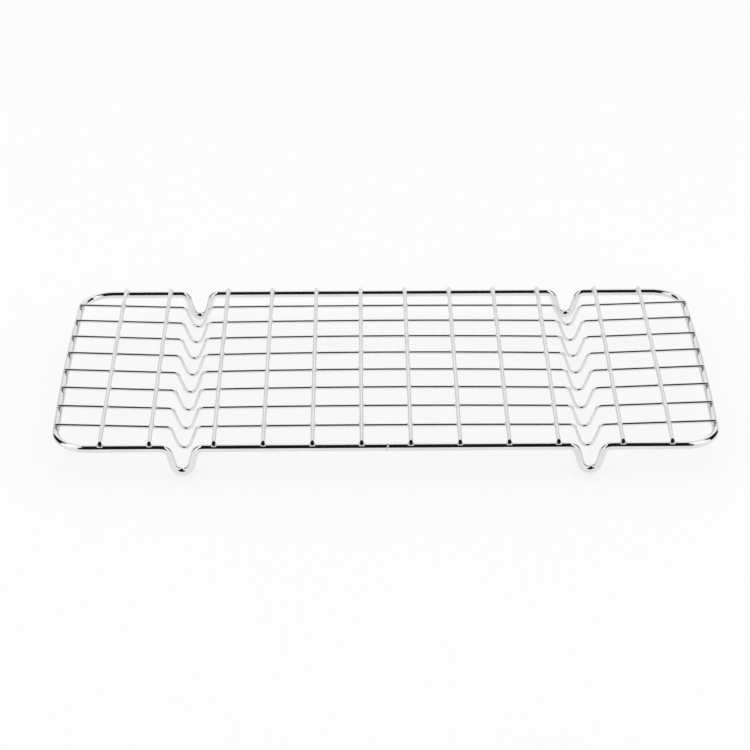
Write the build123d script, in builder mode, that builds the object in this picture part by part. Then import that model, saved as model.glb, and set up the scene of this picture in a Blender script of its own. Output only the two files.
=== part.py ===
import os
from math import radians, sin, sqrt, tan

from build123d import *

# Overall size of the rack over the outside of its rim, in millimetres.
rack_length = 402.0
rack_width = 200.0

# Wire gauges: a stout rim, medium cross wires and fine long wires.
# Each round wire is drawn with a few flats that touch its true diameter, so wires seat flat on flat.
rim_dia = 4.5
cross_dia = 2.5
long_dia = 2.0
rim_flats = 8
cross_flats = 8
long_flats = 6

# Rim bends. Each leg is a narrow vee bent downwards into a long edge.
# Each side bows out and arches up a little.
corner_radius = 20.0
side_bow = 1.4
side_arch = 1.3
leg_drop = 16.0
leg_flare = 15.0
leg_bend_radius = 5.5

# Cross wires, from front to back: a row between the two grooves and a few outside each groove.
inner_cross_count = 8
outer_cross_count = 2
cross_pitch = 29.2
groove_gap = 38.2
cross_end_inset = 0.7
haunch_bend_radius = 60.0

# Long wires, from left to right, each with one vee dip at each groove.
long_count = 8
long_end_inset = 1.2
dip_drop = 14.4
dip_flare = 20.0
dip_bend_radius = 4.0

# Crown of the deck: how far its wires rise at mid width above their seats on the front and back edges.
# Between the grooves the deck is a dome. Outside them it climbs straight from the groove to the side rim.
middle_crown = 2.4
inner_shoulder_crown = 1.2
outer_shoulder_crown = 0.6

# Room left between two wires at each spot weld.
weld_gap = 0.1

# Levels and centre lines that follow from the sizes above. The feet stand on z = 0.
rim_level = leg_drop + rim_dia / 2
rim_top = rim_level + rim_dia / 2
side_x = (rack_length - rim_dia) / 2
edge_y = (rack_width - rim_dia) / 2
cross_seat = rim_top + weld_gap + cross_dia / 2
cross_over_long = long_dia / 2 + weld_gap + cross_dia / 2

inner_half_span = (inner_cross_count - 1) * cross_pitch / 2
groove_x = inner_half_span + groove_gap / 2
inner_cross_x = [i * cross_pitch - inner_half_span for i in range(inner_cross_count)]
right_cross_x = [inner_half_span + groove_gap + i * cross_pitch for i in range(outer_cross_count)]
left_cross_x = [-x for x in reversed(right_cross_x)]
cross_x = left_cross_x + inner_cross_x + right_cross_x

row_pitch = 2 * edge_y / (long_count + 1)
long_y = [edge_y - (i + 1) * row_pitch for i in range(long_count)]

# A side rim runs straight from each corner up to its bowed arc, which spans the reach either way from mid width.
bow_reach = edge_y - 2 * corner_radius
bow_run = edge_y - bow_reach / 2


def vee(centre, inner_level, outer_level, drop, flare, bend_radius):
    """Three corners, as (x, z), of a vee whose rounded tip lies drop below its inner shoulder."""
    point = inner_level - drop - bend_radius * (1 / sin(radians(flare)) - 1)
    spread = tan(radians(flare))
    inner_x = centre - (inner_level - point) * spread
    outer_x = centre + (outer_level - point) * spread
    return [(inner_x, inner_level), (centre, point), (outer_x, outer_level)]


def cross_level(y, crown):
    """Height of a cross wire's centre line, one shallow arc from its seat up to its crown and down again."""
    arc_radius = (edge_y**2 + crown**2) / (2 * crown)
    return cross_seat + crown - arc_radius + sqrt(arc_radius**2 - y**2)


def long_level(y, crown):
    """Height of a long wire's centre line where it hangs under a cross wire of that crown."""
    return cross_level(y, crown) - cross_over_long


def dip(y):
    """Corners of a long wire's dip in the right groove."""
    inner_level = long_level(y, inner_shoulder_crown)
    outer_level = long_level(y, outer_shoulder_crown)
    return vee(groove_x, inner_level, outer_level, dip_drop, dip_flare, dip_bend_radius)


def dome_crown(x):
    """Crown of the cross wire at x, on the dome between the grooves."""
    inner_shoulder, _ = dip(0)[0]
    dome_slope = (middle_crown - inner_shoulder_crown) / (inner_shoulder - inner_half_span / 2)
    return middle_crown - dome_slope * x**2 / (2 * inner_half_span)


def side_seat(y):
    """Where the long wire at y lies on the right side rim, as (x, z) of its centre line."""
    if abs(y) > bow_reach:
        bow_share = (edge_y - abs(y)) / bow_run
    else:
        bow_share = 1 - y**2 / (2 * bow_reach * bow_run)
    rim_rise = side_arch * bow_share
    return side_x - side_bow * (1 - bow_share), rim_top + rim_rise + weld_gap + long_dia / 2


def ramp_level(x, y):
    """Height of the long wire at y where it climbs from a groove to the side rim, at x or its mirror."""
    shoulder_x, shoulder_level = dip(y)[-1]
    seat_x, seat_level = side_seat(y)
    return shoulder_level + (seat_level - shoulder_level) * (abs(x) - shoulder_x) / (seat_x - shoulder_x)


def cut_end(path):
    """Plane of a wire's cut end, at the start of its path, with one axis level."""
    along = path % 0
    return Plane(path @ 0, x_dir=Vector(0, 0, 1).cross(along), z_dir=along)


def flat_up(flats):
    """Turn of a wire's section, in degrees, that puts one of its flats on top."""
    return 90 - 180 / flats


os.makedirs("parts", exist_ok=True)

# Rim wire: half of the closed loop, from the middle of the front edge round to the back, and its mirror.
leg = vee(groove_x, rim_level, rim_level, leg_drop, leg_flare, leg_bend_radius)
leg_radii = [leg_bend_radius] * len(leg)
bow_slope = side_bow / bow_run
arch_slope = side_arch / bow_run
bow_radius = bow_reach / sqrt(bow_slope**2 + arch_slope**2)
corner_x = side_x - side_bow
rim_corners = [(0, -edge_y, rim_level)]
rim_corners += [(x, -edge_y, z) for x, z in leg]
rim_corners += [(corner_x, -edge_y, rim_level)]
rim_corners += [(corner_x + bow_slope * edge_y, 0, rim_level + arch_slope * edge_y)]
rim_corners += [(corner_x, edge_y, rim_level)]
rim_corners += [(x, edge_y, z) for x, z in reversed(leg)]
rim_corners += [(0, edge_y, rim_level)]
rim_radii = leg_radii + [corner_radius, bow_radius, corner_radius] + leg_radii

with BuildPart() as rim_wire:
    with BuildLine() as rim_path:
        FilletPolyline(*rim_corners, radius=rim_radii)
    with BuildSketch(cut_end(rim_path.line)):
        RegularPolygon(rim_dia / 2, rim_flats, major_radius=False, rotation=flat_up(rim_flats))
    sweep()
    mirror(about=Plane.YZ)
rim_wire.part.label = "rim_wire"
export_step(rim_wire.part, "parts/rim_wire.step")

# Long wires, numbered from the back: the ends lie on the side rims, the rest hangs under the cross wires.
for number, y in enumerate(long_y, start=1):
    right_dip = dip(y)
    shoulder_x, shoulder_level = right_dip[0]
    dome_rise = long_level(y, middle_crown) - shoulder_level
    dome_slope = dome_rise / (shoulder_x - inner_half_span / 2)
    seat_x, _ = side_seat(y)
    end_x = seat_x + rim_dia / 2 - long_end_inset
    right_half = right_dip + [(end_x, ramp_level(end_x, y))]
    left_half = [(-x, z) for x, z in reversed(right_half)]
    corners = left_half + [(0, shoulder_level + dome_slope * shoulder_x)] + right_half
    dip_radii = [dip_bend_radius] * len(right_dip)
    bend_radii = dip_radii + [inner_half_span / dome_slope] + dip_radii
    with BuildPart() as long_wire:
        with BuildLine() as long_path:
            FilletPolyline(*[(x, y, z) for x, z in corners], radius=bend_radii)
        with BuildSketch(cut_end(long_path.line)):
            RegularPolygon(long_dia / 2, long_flats, major_radius=False, rotation=flat_up(long_flats))
        sweep()
    long_wire.part.label = f"long_wire_{number}"
    export_step(long_wire.part, f"parts/long_wire_{number}.step")

# Cross wires, numbered from the left: they lie on the front and back edges of the rim and cap the deck.
# Between the grooves each is one shallow arc. Outside them the long wires lift it, and its ends bend down.
cross_end_y = rack_width / 2 - cross_end_inset
haunch_y = long_y[0]
for number, x in enumerate(cross_x, start=1):
    with BuildPart() as cross_wire:
        with BuildLine() as cross_path:
            if abs(x) <= inner_half_span:
                end_level = cross_level(cross_end_y, dome_crown(x))
                top_level = cross_level(0, dome_crown(x))
                ThreePointArc((x, -cross_end_y, end_level), (x, 0, top_level), (x, cross_end_y, end_level))
            else:
                haunch_level = ramp_level(x, haunch_y) + cross_over_long
                top_level = ramp_level(x, 0) + cross_over_long
                top_slope = (top_level - haunch_level) / (haunch_y - bow_reach / 2)
                end_slope = (haunch_level - cross_seat) / (edge_y - haunch_y)
                end_level = cross_seat - end_slope * (cross_end_y - edge_y)
                half = [(x, -cross_end_y, end_level), (x, -haunch_y, haunch_level)]
                peak = (x, 0, haunch_level + top_slope * haunch_y)
                other_half = [(x, -y, z) for x, y, z in reversed(half)]
                bend_radii = [haunch_bend_radius, bow_reach / top_slope, haunch_bend_radius]
                FilletPolyline(*half, peak, *other_half, radius=bend_radii)
        with BuildSketch(cut_end(cross_path.line)):
            RegularPolygon(cross_dia / 2, cross_flats, major_radius=False, rotation=flat_up(cross_flats))
        sweep()
    cross_wire.part.label = f"cross_wire_{number}"
    export_step(cross_wire.part, f"parts/cross_wire_{number}.step")
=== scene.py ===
from math import asin, cos, pi, radians, sin, sqrt, tan

import bpy
import numpy as np
from mathutils import Matrix, Vector


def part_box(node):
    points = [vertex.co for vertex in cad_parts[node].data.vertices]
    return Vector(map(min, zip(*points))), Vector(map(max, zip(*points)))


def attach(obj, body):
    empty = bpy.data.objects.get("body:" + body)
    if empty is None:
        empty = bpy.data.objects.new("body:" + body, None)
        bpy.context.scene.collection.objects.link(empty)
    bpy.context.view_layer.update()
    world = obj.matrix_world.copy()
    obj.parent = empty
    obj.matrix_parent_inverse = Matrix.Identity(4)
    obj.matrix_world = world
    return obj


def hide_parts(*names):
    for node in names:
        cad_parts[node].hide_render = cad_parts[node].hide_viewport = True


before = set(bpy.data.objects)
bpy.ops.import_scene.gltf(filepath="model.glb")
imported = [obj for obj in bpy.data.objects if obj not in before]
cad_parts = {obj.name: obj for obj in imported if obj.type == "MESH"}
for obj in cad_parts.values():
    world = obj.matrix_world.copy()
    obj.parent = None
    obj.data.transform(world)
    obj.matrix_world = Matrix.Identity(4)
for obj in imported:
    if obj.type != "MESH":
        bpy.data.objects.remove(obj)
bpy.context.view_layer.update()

# Rim: one stout drawn steel wire, bent flat into a rounded rectangle and down into four narrow legs.
# Its long edges are straight, and its short sides bow out and arch up a little.
# The whole rack was bright chromed after it was welded.
rim_gauge = 0.0045
rim_sides = 40
rim_corner_radius = 0.020
side_bow = 0.0014
side_arch = 0.0013
leg_drop = 0.0160
leg_flare = radians(15)
leg_bend_radius = 0.0055

rim_low, rim_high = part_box("rim_wire")
rim_level = rim_low.z + leg_drop + rim_gauge / 2
rim_top = rim_level + rim_gauge / 2
rim_side = rim_high.x - rim_gauge / 2
rim_edge = rim_high.y - rim_gauge / 2


def middle_x(node):
    """Middle of a CAD wire from left to right."""
    low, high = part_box(node)
    return (low.x + high.x) / 2


groove_x = (middle_x("cross_wire_10") + middle_x("cross_wire_11")) / 2


def vee(centre, inner_level, outer_level, drop, flare, bend_radius):
    """Three corners, as (x, z), of a vee whose rounded tip lies drop below its inner shoulder."""
    point = inner_level - drop - bend_radius * (1 / sin(flare) - 1)
    inner_x = centre - (inner_level - point) * tan(flare)
    outer_x = centre + (outer_level - point) * tan(flare)
    return [(inner_x, inner_level), (centre, point), (outer_x, outer_level)]


def bent_line(corners, radii, turn_step=radians(4), least_steps=12, lead=0.0003):
    """Centre line of a bent wire: straight runs, with each corner rounded by an arc of its own radius.

    A short lead before and after each arc keeps the bend out of the shading of the straight runs.
    """
    corners = np.array(corners, float)
    line = []
    for i, (corner, radius) in enumerate(zip(corners, radii)):
        if not radius:
            line.append(corner)
            continue
        back = corners[i - 1] - corner
        ahead = corners[(i + 1) % len(corners)] - corner
        back /= np.linalg.norm(back)
        ahead /= np.linalg.norm(ahead)
        half_turn = asin(np.linalg.norm(back + ahead) / 2)
        inward = (back + ahead) / np.linalg.norm(back + ahead)
        centre = corner + inward * radius / cos(half_turn)
        first = corner + back * radius * tan(half_turn) - centre
        last = corner + ahead * radius * tan(half_turn) - centre
        turn = 2 * half_turn
        steps = max(least_steps, round(turn / turn_step))
        line.append(centre + first + back * lead)
        for step in range(steps + 1):
            share = step / steps
            arm = first * sin((1 - share) * turn) + last * sin(share * turn)
            line.append(centre + arm / sin(turn))
        line.append(centre + last + ahead * lead)
    return np.array(line)


def tube_faces(rings, sides, closed=False):
    """Side faces of a tube whose points run ring by ring. A closed tube is a loop without ends."""
    faces = []
    for ring in range(rings if closed else rings - 1):
        here = ring * sides
        there = (ring + 1) % rings * sides
        for side in range(sides):
            beside = (side + 1) % sides
            faces.append((here + side, here + beside, there + beside, there + side))
    return faces


def end_faces(rings, sides):
    """The two flat faces at the ends of an open tube."""
    return [tuple(reversed(range(sides))), tuple(range((rings - 1) * sides, rings * sides))]


def new_piece(name, points, faces):
    """A mesh of these points and faces, put into the scene."""
    mesh = bpy.data.meshes.new(name)
    mesh.from_pydata(points, [], faces)
    piece = bpy.data.objects.new(name, mesh)
    bpy.context.scene.collection.objects.link(piece)
    return piece


def round_wire(name, line, gauge, sides, closed=False, end_slant=0.0):
    """A round wire along its centre line. An open wire's cut ends lean back by the slant."""
    worn_edge = 0.05 * gauge
    face_share = 0.92

    def cut_end(ring, inward, lean):
        """Rings of a cut end, from its flat face over its worn edge to the start of the full round."""
        slanted = ring + inward * lean
        middle = slanted.mean(axis=0)
        face = middle + (slanted - middle) * face_share
        return [face, slanted + inward * worn_edge, slanted + inward * 2 * worn_edge]

    ahead = np.roll(line, -1, axis=0) - line
    behind = line - np.roll(line, 1, axis=0)
    if not closed:
        ahead[-1] = behind[-1]
        behind[0] = ahead[0]
    ahead /= np.linalg.norm(ahead, axis=1)[:, None]
    behind /= np.linalg.norm(behind, axis=1)[:, None]
    along = ahead + behind
    along /= np.linalg.norm(along, axis=1)[:, None]
    level = np.cross((0, 0, 1), along)
    level /= np.linalg.norm(level, axis=1)[:, None]
    upward = np.cross(along, level)
    turn = 2 * pi * np.arange(sides) / sides
    across = np.cos(turn)[:, None]
    rise = np.sin(turn)[:, None]
    around = across * level[:, None, :] + rise * upward[:, None, :]
    rings = list(line[:, None, :] + around * gauge / 2)
    if not closed:
        lean = (1 + rise) * gauge / 2 * tan(end_slant)
        first_end = cut_end(rings[0], along[0], lean)
        last_end = cut_end(rings[-1], -along[-1], lean)
        rings = first_end + rings[1:-1] + last_end[::-1]
    faces = tube_faces(len(rings), sides, closed)
    if not closed:
        faces += end_faces(len(rings), sides)
    wire = new_piece(name, np.concatenate(rings).tolist(), faces)
    for face in wire.data.polygons:
        cut_face = len(face.vertices) == sides
        face.use_smooth = not cut_face
        # Cut faces take the second material, whose near-black colour is a painted dark reflection.
        face.material_index = 1 if cut_face else 0
    return wire


class Value:
    """One socket of a shader tree. Sums and products of values add Math nodes to that tree."""

    def __init__(self, tree, socket=None):
        self.tree = tree
        self.socket = socket

    def node(self, kind, settings, sockets, output=0):
        """A new node of the tree: its settings first, then the values or links of its sockets."""
        made = self.tree.nodes.new(kind)
        for name, setting in settings.items():
            setattr(made, name, setting)
        for name, value in sockets.items():
            if isinstance(value, Value):
                self.tree.links.new(value.socket, made.inputs[name])
            else:
                made.inputs[name].default_value = value
        return Value(self.tree, made.outputs[output]) if made.outputs else None

    def part(self, output):
        """Another output of the node that this value comes from."""
        return Value(self.tree, self.socket.node.outputs[output])

    def maths(self, operation, first, second=0.0):
        """A Math node of the tree."""
        return self.node("ShaderNodeMath", {"operation": operation}, {0: first, 1: second})

    def __add__(self, other):
        return self.maths("ADD", self, other)

    def __radd__(self, other):
        return self.maths("ADD", other, self)

    def __sub__(self, other):
        return self.maths("SUBTRACT", self, other)

    def __rsub__(self, other):
        return self.maths("SUBTRACT", other, self)

    def __mul__(self, other):
        return self.maths("MULTIPLY", self, other)

    def __rmul__(self, other):
        return self.maths("MULTIPLY", other, self)

    def __truediv__(self, other):
        return self.maths("DIVIDE", self, other)

    def __rtruediv__(self, other):
        return self.maths("DIVIDE", other, self)

    def __abs__(self):
        return self.maths("ABSOLUTE", self)


def fresh_tree(owner):
    """The emptied shader tree of a material or a world."""
    owner.use_nodes = True
    owner.node_tree.nodes.clear()
    return Value(owner.node_tree)


def soft_step(value, low, high):
    """0 below low, 1 above high and a smooth rise between them."""
    sockets = {"Value": value, "From Min": low, "From Max": high}
    return value.node("ShaderNodeMapRange", {"interpolation_type": "SMOOTHSTEP"}, sockets)


def noise(place, size, detail):
    """Soft blotches of about that size, from 0 to 1."""
    return place.node("ShaderNodeTexNoise", {}, {"Vector": place, "Scale": 1 / size, "Detail": detail})


def colour_mix(factor, first, second):
    """The first colour where the factor is 0, the second where it is 1."""
    sockets = {"Factor": factor, 6: (*first, 1.0), 7: (*second, 1.0)}
    return factor.node("ShaderNodeMix", {"data_type": "RGBA"}, sockets, 2)


def metal_finish(name, bright, dull, smooth, rough, cloud_size, grain_size, grain_depth):
    """A metal whose colour and gloss drift in soft clouds, over a skin of very fine grain."""
    clear_below = 0.35
    clouded_above = 0.65
    finish = bpy.data.materials.new(name)
    tree = fresh_tree(finish)
    place = tree.node("ShaderNodeTexCoord", {}, {}, "Object")
    clouds = noise(place, cloud_size, detail=3.0)
    drift = soft_step(clouds, clear_below, clouded_above)
    colour = colour_mix(drift, bright, dull)
    grain = noise(place, grain_size, detail=2.0)
    bump = tree.node("ShaderNodeBump", {}, {"Height": grain, "Distance": grain_depth, "Strength": 1.0})
    gloss = smooth + drift * (rough - smooth)
    surface = tree.node(
        "ShaderNodeBsdfPrincipled",
        {},
        {"Base Color": colour, "Metallic": 1.0, "Roughness": gloss, "Normal": bump},
    )
    tree.node("ShaderNodeOutputMaterial", {}, {"Surface": surface})
    return finish


chrome = metal_finish(
    "bright_chrome",
    bright=(0.82, 0.82, 0.83),
    dull=(0.77, 0.77, 0.78),
    smooth=0.04,
    rough=0.09,
    cloud_size=0.018,
    grain_size=0.0016,
    grain_depth=0.000003,
)
# Cut faces of the wire ends: the rougher gloss is bare sheared steel, and the near-black colour is a
# painted dark reflection.
cut_steel_painted_dark = metal_finish(
    "cut_steel_painted_dark",
    bright=(0.10, 0.10, 0.10),
    dull=(0.05, 0.05, 0.05),
    smooth=0.28,
    rough=0.42,
    cloud_size=0.0012,
    grain_size=0.0003,
    grain_depth=0.00003,
)

leg = vee(groove_x, rim_level, rim_level, leg_drop, leg_flare, leg_bend_radius)
bow_reach = rim_edge - 2 * rim_corner_radius
bow_run = rim_edge - bow_reach / 2
bow_slope = side_bow / bow_run
arch_slope = side_arch / bow_run
bow_radius = bow_reach / sqrt(bow_slope**2 + arch_slope**2)
corner_x = rim_side - side_bow
front_right = [(x, -rim_edge, z) for x, z in leg] + [(corner_x, -rim_edge, rim_level)]
side_middle = (corner_x + bow_slope * rim_edge, 0.0, rim_level + arch_slope * rim_edge)
right_half = front_right + [side_middle] + [(x, -y, z) for x, y, z in reversed(front_right)]
left_half = [(-x, -y, z) for x, y, z in right_half]
front_radii = [leg_bend_radius] * len(leg) + [rim_corner_radius]
half_radii = front_radii + [bow_radius] + front_radii[::-1]
rim_line = bent_line(right_half + left_half, half_radii * 2)
rim = round_wire("bright_rim", rim_line, rim_gauge, rim_sides, closed=True)
rim.data.materials.append(chrome)
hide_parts("rim_wire")
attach(rim, "root")

# Long wires: eight fine drawn wires from left to right, each bent into one vee dip at each groove.
# Their sheared ends are spot welded on top of the side rims, and the rest hangs under the cross wires.
long_gauge = 0.0020
long_sides = 24
cross_gauge = 0.0025
weld_gap = 0.0001
dip_drop = 0.0144
dip_flare = radians(20)
dip_bend_radius = 0.0040
long_end_inset = 0.0012
shear_slant = radians(20)
middle_crown = 0.0024
inner_shoulder_crown = 0.0012
outer_shoulder_crown = 0.0006

long_wires = [f"long_wire_{number}" for number in range(1, 9)]
cross_wires = [f"cross_wire_{number}" for number in range(1, 13)]
cross_seat = rim_top + weld_gap + cross_gauge / 2
cross_over_long = long_gauge / 2 + weld_gap + cross_gauge / 2
dome_half_span = middle_x("cross_wire_10")


def cross_level(y, crown):
    """Height of a cross wire's centre line, one shallow arc from its seat over its crown and down."""
    arc_radius = (rim_edge**2 + crown**2) / (2 * crown)
    return cross_seat + crown - arc_radius + sqrt(arc_radius**2 - y**2)


def long_level(y, crown):
    """Height of a long wire's centre line where it hangs under a cross wire of that crown."""
    return cross_level(y, crown) - cross_over_long


def dip(y):
    """Corners, as (x, z), of a long wire's dip in the right groove."""
    inner_level = long_level(y, inner_shoulder_crown)
    outer_level = long_level(y, outer_shoulder_crown)
    return vee(groove_x, inner_level, outer_level, dip_drop, dip_flare, dip_bend_radius)


def side_seat(y):
    """Where the long wire at y lies on the right side rim, as (x, z) of its centre line."""
    if abs(y) > bow_reach:
        bow_share = (rim_edge - abs(y)) / bow_run
    else:
        bow_share = 1 - y**2 / (2 * bow_reach * bow_run)
    seat_level = rim_top + side_arch * bow_share + weld_gap + long_gauge / 2
    return rim_side - side_bow * (1 - bow_share), seat_level


def ramp_level(x, y):
    """Height of the long wire at y where it climbs from a groove to the side rim."""
    shoulder_x, shoulder_level = dip(y)[-1]
    seat_x, seat_level = side_seat(y)
    return shoulder_level + (seat_level - shoulder_level) * (abs(x) - shoulder_x) / (seat_x - shoulder_x)


row_y = []
for node in long_wires:
    low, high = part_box(node)
    y = (low.y + high.y) / 2
    row_y.append(y)
    right_dip = dip(y)
    shoulder_x, shoulder_level = right_dip[0]
    dome_slope = (long_level(y, middle_crown) - shoulder_level) / (shoulder_x - dome_half_span / 2)
    seat_x, _ = side_seat(y)
    end_x = seat_x + rim_gauge / 2 - long_end_inset
    right_half = right_dip + [(end_x, ramp_level(end_x, y))]
    left_half = [(-x, z) for x, z in reversed(right_half)]
    corners = left_half + [(0.0, shoulder_level + dome_slope * shoulder_x)] + right_half
    half_radii = [dip_bend_radius] * len(right_dip) + [0.0]
    radii = half_radii[::-1] + [dome_half_span / dome_slope] + half_radii
    line = bent_line([(x, y, z) for x, z in corners], radii)
    wire = round_wire(f"bright_{node}", line, long_gauge, long_sides, end_slant=shear_slant)
    wire.data.materials.append(chrome)
    # The cut ends get the near-black finish, a painted dark reflection over the rough bare steel.
    wire.data.materials.append(cut_steel_painted_dark)
    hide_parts(node)
    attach(wire, "root")

# Cross wires: twelve medium drawn wires from front to back, spot welded onto the rim and the long wires.
# Between the grooves each is one shallow arc. Outside them the ramps of the long wires lift it.
# All ends are trimmed on a slant over the rim, leaving a small facet on each that is painted near black,
# a painted dark reflection over the rough bare steel of the cut.
cross_sides = 28
haunch_bend_radius = 0.060
trim_slant = radians(38)
arc_steps = 48

haunch_y = row_y[0]


def crown_of(node):
    """Rise of a CAD cross wire's crown above its seats on the rim."""
    _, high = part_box(node)
    return high.z - cross_gauge / 2 - cross_seat


for node in cross_wires:
    low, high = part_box(node)
    x = middle_x(node)
    if abs(x) < groove_x:
        stations = np.linspace(low.y, high.y, arc_steps + 1)
        line = np.array([(x, y, cross_level(y, crown_of(node))) for y in stations])
    else:
        haunch_level = ramp_level(x, haunch_y) + cross_over_long
        top_level = ramp_level(x, 0.0) + cross_over_long
        top_slope = (top_level - haunch_level) / (haunch_y - bow_reach / 2)
        end_slope = (haunch_level - cross_seat) / (rim_edge - haunch_y)
        end_level = cross_seat - end_slope * (high.y - rim_edge)
        half = [(x, low.y, end_level), (x, -haunch_y, haunch_level)]
        peak = (x, 0.0, haunch_level + top_slope * haunch_y)
        other_half = [(x, high.y, end_level), (x, haunch_y, haunch_level)]
        half_radii = [0.0, haunch_bend_radius]
        line = bent_line(
            half + [peak] + other_half[::-1],
            half_radii + [bow_reach / top_slope] + half_radii[::-1],
        )
    wire = round_wire(f"bright_{node}", line, cross_gauge, cross_sides, end_slant=trim_slant)
    wire.data.materials.append(chrome)
    # The trimmed facets get the near-black finish, a painted dark reflection over the rough bare steel.
    wire.data.materials.append(cut_steel_painted_dark)
    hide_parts(node)
    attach(wire, "root")

# Spot welds: where two wires cross, a little steel has squeezed out into the four corners between them.
# The nuggets were chromed with the wires, but their skin is rougher.
nugget_spread = 0.00042
nugget_height = 0.00075
nugget_lobes = 0.10
nugget_growth = (0.88, 1.06)
nugget_seed = 12
nugget_sides = 20
nugget_rings = 7


def nugget_half(gauge):
    """Half width of a nugget where it shows on both sides of a wire of that gauge."""
    return sqrt(2) * gauge / 2 + nugget_spread / 2


def nugget(centre, half_x, half_y, growth):
    """Points of one weld nugget, with a lobe in each corner between two wires."""
    points = []
    for ring in range(nugget_rings):
        rise = pi * ((ring + 0.5) / nugget_rings - 0.5)
        for side in range(nugget_sides):
            turn = 2 * pi * side / nugget_sides
            lobe = (1 - nugget_lobes * cos(4 * turn)) * growth
            reach = cos(rise) * lobe
            points.append((
                centre[0] + half_x * reach * cos(turn),
                centre[1] + half_y * reach * sin(turn),
                centre[2] + nugget_height * sin(rise),
            ))
    return points


cross_half = nugget_half(cross_gauge)
long_half = nugget_half(long_gauge)
weld_rise = (long_gauge + weld_gap) / 2
crossings = []
for node in cross_wires:
    x = middle_x(node)
    for y in row_y:
        level = long_level(y, crown_of(node)) if abs(x) < groove_x else ramp_level(x, y)
        crossings.append(((x, y, level + weld_rise), cross_half, long_half))
    for y in (-rim_edge, rim_edge):
        crossings.append(((x, y, rim_top + weld_gap / 2), cross_half, cross_half))
for y in row_y:
    seat_x, seat_level = side_seat(y)
    for x in (-seat_x, seat_x):
        crossings.append(((x, y, seat_level - weld_rise), long_half, long_half))

chance = np.random.default_rng(nugget_seed)
nugget_faces = tube_faces(nugget_rings, nugget_sides) + end_faces(nugget_rings, nugget_sides)
weld_points = []
weld_faces = []
for centre, half_x, half_y in crossings:
    first = len(weld_points)
    weld_points += nugget(centre, half_x, half_y, chance.uniform(*nugget_growth))
    weld_faces += [tuple(first + corner for corner in face) for face in nugget_faces]
spot_welds = new_piece("spot_welds", weld_points, weld_faces)
spot_welds.data.shade_smooth()
weld_chrome = metal_finish(
    "weld_chrome",
    bright=(0.80, 0.80, 0.81),
    dull=(0.66, 0.66, 0.67),
    smooth=0.12,
    rough=0.26,
    cloud_size=0.0015,
    grain_size=0.0004,
    grain_depth=0.00002,
)
spot_welds.data.materials.append(weld_chrome)
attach(spot_welds, "root")

# Butt weld: the two ends of the rim wire meet in the middle of the front edge and are welded together.
# The flash was ground down to a low ridge round the wire, a little askew, and chromed with the rest.
butt_x = 0.0005
butt_half_width = 0.0006
butt_height = 0.00028
butt_sink = 0.00004
butt_skew = 0.0005
butt_sides = 40
butt_rings = 9

butt_points = []
for ring in range(butt_rings):
    share = 2 * ring / (butt_rings - 1) - 1
    for side in range(butt_sides):
        turn = 2 * pi * side / butt_sides
        reach = rim_gauge / 2 - butt_sink + butt_height * (1 - share**2)
        butt_points.append((
            butt_x + butt_half_width * share + butt_skew * sin(turn),
            -rim_edge - reach * cos(turn),
            rim_level + reach * sin(turn),
        ))
butt_faces = [face[::-1] for face in tube_faces(butt_rings, butt_sides)]
butt_weld = new_piece("rim_butt_weld", butt_points, butt_faces)
butt_weld.data.shade_smooth()
butt_weld.data.materials.append(weld_chrome)
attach(butt_weld, "root")

# Studio: a white glossy table in a white light tent, lit all round, with a softbox over each side.
# The tent is open to the dark room in front, above the camera and at its two back corners.
# These openings draw the dark lines on the chrome.
white = (1.0, 1.0, 1.0, 1.0)
floor_half = 4.0
floor_dark = (0.874, 0.874, 0.874)
floor_pale = (0.886, 0.886, 0.886)
floor_gloss = 0.18
floor_glow = 0.66
mottle_size = 1 / 9
tent_level = 1.0
sweep_level = 0.92
corner_level = 0.74
softbox_level = 0.35
softbox_size = (1.2, 1.6)
softbox_place = (1.3, -0.2, 1.3)

floor_corners = [(-floor_half, -floor_half, 0), (floor_half, -floor_half, 0)]
floor_corners += [(floor_half, floor_half, 0), (-floor_half, floor_half, 0)]
floor = new_piece("floor", floor_corners, [(0, 1, 2, 3)])

laminate = bpy.data.materials.new("floor_laminate")
tree = fresh_tree(laminate)
place = tree.node("ShaderNodeTexCoord", {}, {}, "Object")
tint = colour_mix(noise(place, mottle_size, detail=2.0), floor_dark, floor_pale)
surface = tree.node("ShaderNodeBsdfPrincipled", {}, {"Base Color": tint, "Roughness": floor_gloss})
glow = tree.node("ShaderNodeEmission", {}, {"Color": white, "Strength": 1.0})
seen = tree.node("ShaderNodeLightPath", {}, {}, "Is Camera Ray")
seen = seen + seen.part("Is Glossy Ray") + seen.part("Is Transmission Ray")
glow_share = tree.maths("MINIMUM", seen, 1.0) * floor_glow
surface = tree.node("ShaderNodeMixShader", {}, {0: glow_share, 1: surface, 2: glow})
tree.node("ShaderNodeOutputMaterial", {}, {"Surface": surface})
floor.data.materials.append(laminate)

front_y = -1.70
front_top = 1.00
front_low = 0.36
front_half = 1.15
overhead_side = [(front_half, front_y), (0.95, -1.15), (0.72, -0.75), (0.42, -0.38), (0.36, 0.48)]
back_corner = [(2.19, -0.19, 0.0), (1.72, 1.20, 0.0), (0.79, 0.96, 1.62), (1.47, 0.03, 1.55)]
room_colour = (0.01, 0.01, 0.01, 1.0)

overhead = [(x, y, front_top) for x, y in overhead_side]
overhead += [(-x, y, front_top) for x, y in reversed(overhead_side)]
front = [(-front_half, front_y, front_top), (front_half, front_y, front_top)]
front += [(front_half, front_y, front_low), (-front_half, front_y, front_low)]
openings = [overhead, front, back_corner, [(-x, y, z) for x, y, z in back_corner]]
opening_points = []
opening_faces = []
for opening in openings:
    first = len(opening_points)
    opening_points += opening
    opening_faces.append(tuple(range(first, len(opening_points))))
tent_openings = new_piece("tent_openings", opening_points, opening_faces)
tent_openings.visible_camera = False
tent_openings.visible_diffuse = False
tent_openings.visible_shadow = False

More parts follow.
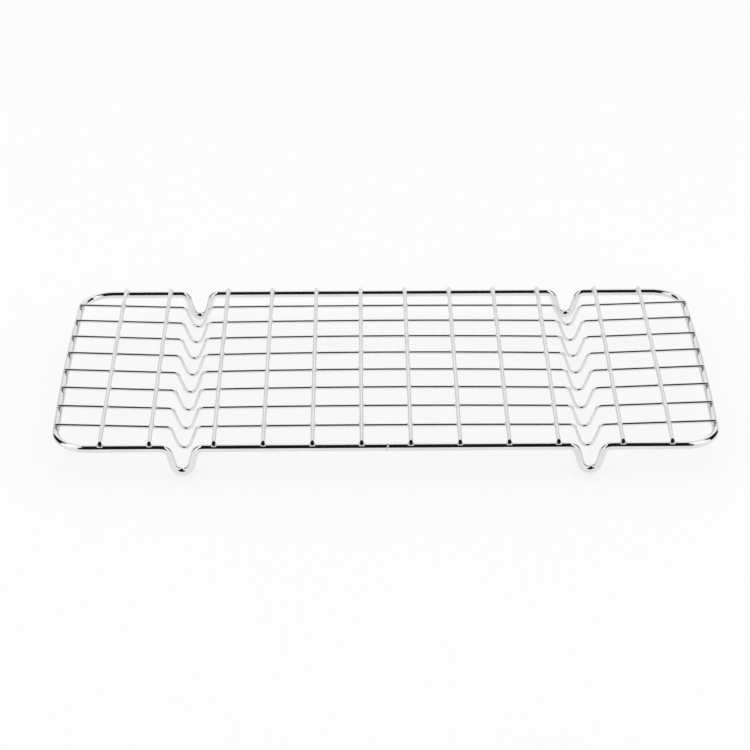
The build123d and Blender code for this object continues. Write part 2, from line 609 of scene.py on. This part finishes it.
dark_room = bpy.data.materials.new("dark_room")
tree = fresh_tree(dark_room)
surface = tree.node("ShaderNodeBsdfDiffuse", {}, {"Color": room_colour})
tree.node("ShaderNodeOutputMaterial", {}, {"Surface": surface})
tent_openings.data.materials.append(dark_room)

for side, name in ((-1, "softbox_left"), (1, "softbox_right")):
    softbox = bpy.data.objects.new(name, bpy.data.lights.new(name, "AREA"))
    softbox.data.shape = "RECTANGLE"
    softbox.data.size, softbox.data.size_y = softbox_size
    softbox.data.energy = softbox_level * pi * softbox_size[0] * softbox_size[1]
    softbox.location = (side * softbox_place[0], softbox_place[1], softbox_place[2])
    softbox.rotation_euler = (-softbox.location).to_track_quat("-Z", "Y").to_euler()
    bpy.context.scene.collection.objects.link(softbox)

# The tent's sweep is a little darker low down behind the table, and more so towards its two corners.
# These limits are shares of a direction of length 1, seen from the rack.
sweep_depth = (0.45, 0.70)
sweep_height = (0.36, 0.50)
corner_start = (0.36, 0.46)
corner_end = (0.62, 0.74)

studio = bpy.data.worlds.new("studio")
bpy.context.scene.world = studio
tree = fresh_tree(studio)
direction = tree.node("ShaderNodeTexCoord", {}, {}, "Generated")
x = tree.node("ShaderNodeSeparateXYZ", {}, {"Vector": direction}, "X")
y = x.part("Y")
z = x.part("Z")
sideways = abs(x) / tree.maths("SQRT", x * x + y * y)
low_behind = soft_step(y, *sweep_depth) * (1 - soft_step(z, *sweep_height))
low_corner = soft_step(sideways, *corner_start) * (1 - soft_step(sideways, *corner_end))
level = tent_level - low_behind * (tent_level - sweep_level + low_corner * (sweep_level - corner_level))
tent = tree.node("ShaderNodeBackground", {}, {"Color": white, "Strength": level})
tree.node("ShaderNodeOutputWorld", {}, {"Surface": tent})

# Camera: a telephoto lens in front of the rack, square to its front edge.
# It looks down on the deck by about thirty degrees.
camera_place = Vector((-0.01560, -1.30194, 0.75554))
camera_pitch = radians(29.739)
camera_yaw = radians(0.428)
camera_roll = radians(-0.125)
camera_lens = 114.29
camera_sensor = 36.0

camera = bpy.data.objects.new("camera", bpy.data.cameras.new("camera"))
camera.data.sensor_width = camera_sensor
camera.data.lens = camera_lens
turn = Matrix.Rotation(-camera_yaw, 4, "Z") @ Matrix.Rotation(pi / 2 - camera_pitch, 4, "X")
camera.matrix_world = Matrix.Translation(camera_place) @ turn @ Matrix.Rotation(camera_roll, 4, "Z")
bpy.context.scene.collection.objects.link(camera)
bpy.context.scene.camera = camera
bpy.context.scene.view_settings.view_transform = "Standard"
